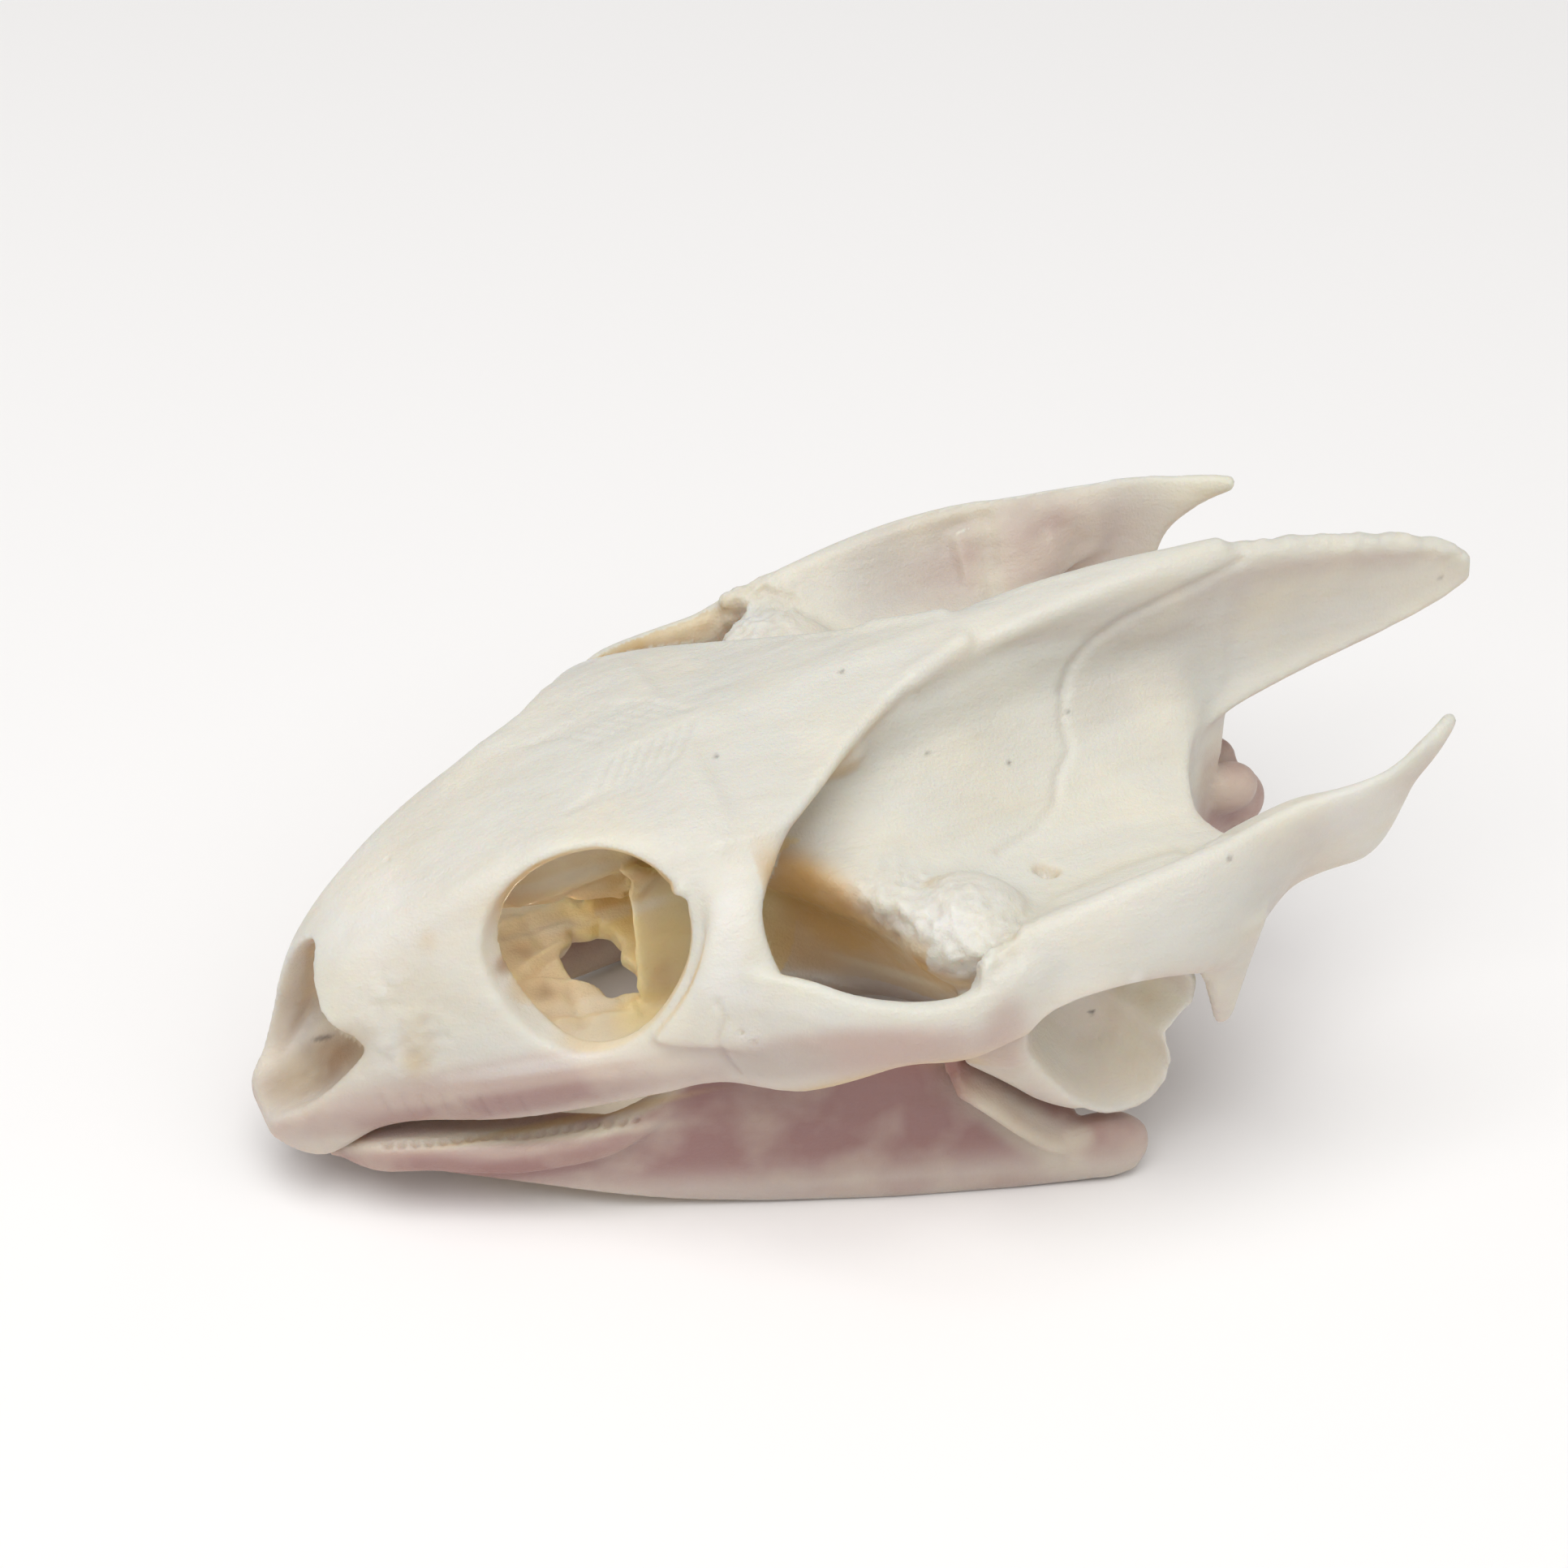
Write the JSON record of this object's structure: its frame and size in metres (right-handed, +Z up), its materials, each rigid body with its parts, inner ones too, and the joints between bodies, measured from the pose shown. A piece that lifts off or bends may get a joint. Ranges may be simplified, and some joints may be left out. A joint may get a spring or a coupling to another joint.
{
  "type": "turtle skull",
  "caption": "Dry softshell turtle skull with its lower jaw, resting on the jaw, with open eye sockets, arched cheeks, curved rear prongs and a long crest over the neck.",
  "frame": {"origin": "middle of the footprint box, on the floor that the lower jaw rests on", "axes": "+X towards the snout, +Y towards the skull's left side, +Z up"},
  "size_m": [0.1058, 0.0604, 0.0414],
  "materials": {
    "bone_ivory": "dry cleaned bone, faint satin",
    "bone_chalk": "dry cleaned bone, faint satin",
    "bone_cream": "dry cleaned bone, matt",
    "bone_jaw": "dry cleaned bone, matt"
  },
  "bodies": {
    "root": {"snout": "bone_ivory", "eye_region": "bone_ivory", "cheek_bar_left": "bone_ivory", "cheek_bar_right": "bone_ivory", "braincase": "bone_chalk", "supraoccipital_crest": "bone_chalk", "squamosal_left": "bone_chalk", "squamosal_right": "bone_chalk", "quadrate_left": "bone_cream", "quadrate_right": "bone_cream", "occipital_condyle": "bone_cream", "lower_jaw": "bone_jaw", "jaw_joint_left": "bone_jaw", "jaw_joint_right": "bone_jaw"}
  },
  "joints": []
}
